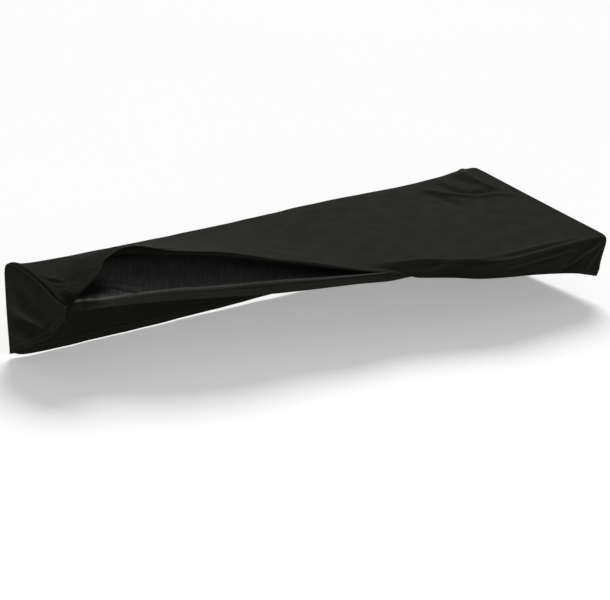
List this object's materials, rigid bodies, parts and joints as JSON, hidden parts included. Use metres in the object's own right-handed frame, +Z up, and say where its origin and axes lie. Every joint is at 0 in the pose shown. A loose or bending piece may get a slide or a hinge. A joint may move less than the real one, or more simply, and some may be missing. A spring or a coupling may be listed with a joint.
{
  "type": "piano cover",
  "caption": "Fitted cloth dust cover for a stage piano, hollow and open below, with its front pulled back over the keys at the left.",
  "frame": {"origin": "under the middle of the top, where the covered instrument holds the cloth up", "axes": "+X along the cover from its left end seam to its right one as a player sees it, +Y from front to back, +Z up"},
  "size_m": [1.3608, 0.4191, 0.2261],
  "materials": {
    "cover_cloth": "plain woven polyester, near-black olive, matt with a faint sheen"
  },
  "bodies": {
    "root": {"main_panel": "cover_cloth", "left_end_panel": "cover_cloth", "right_end_panel": "cover_cloth"}
  },
  "joints": []
}
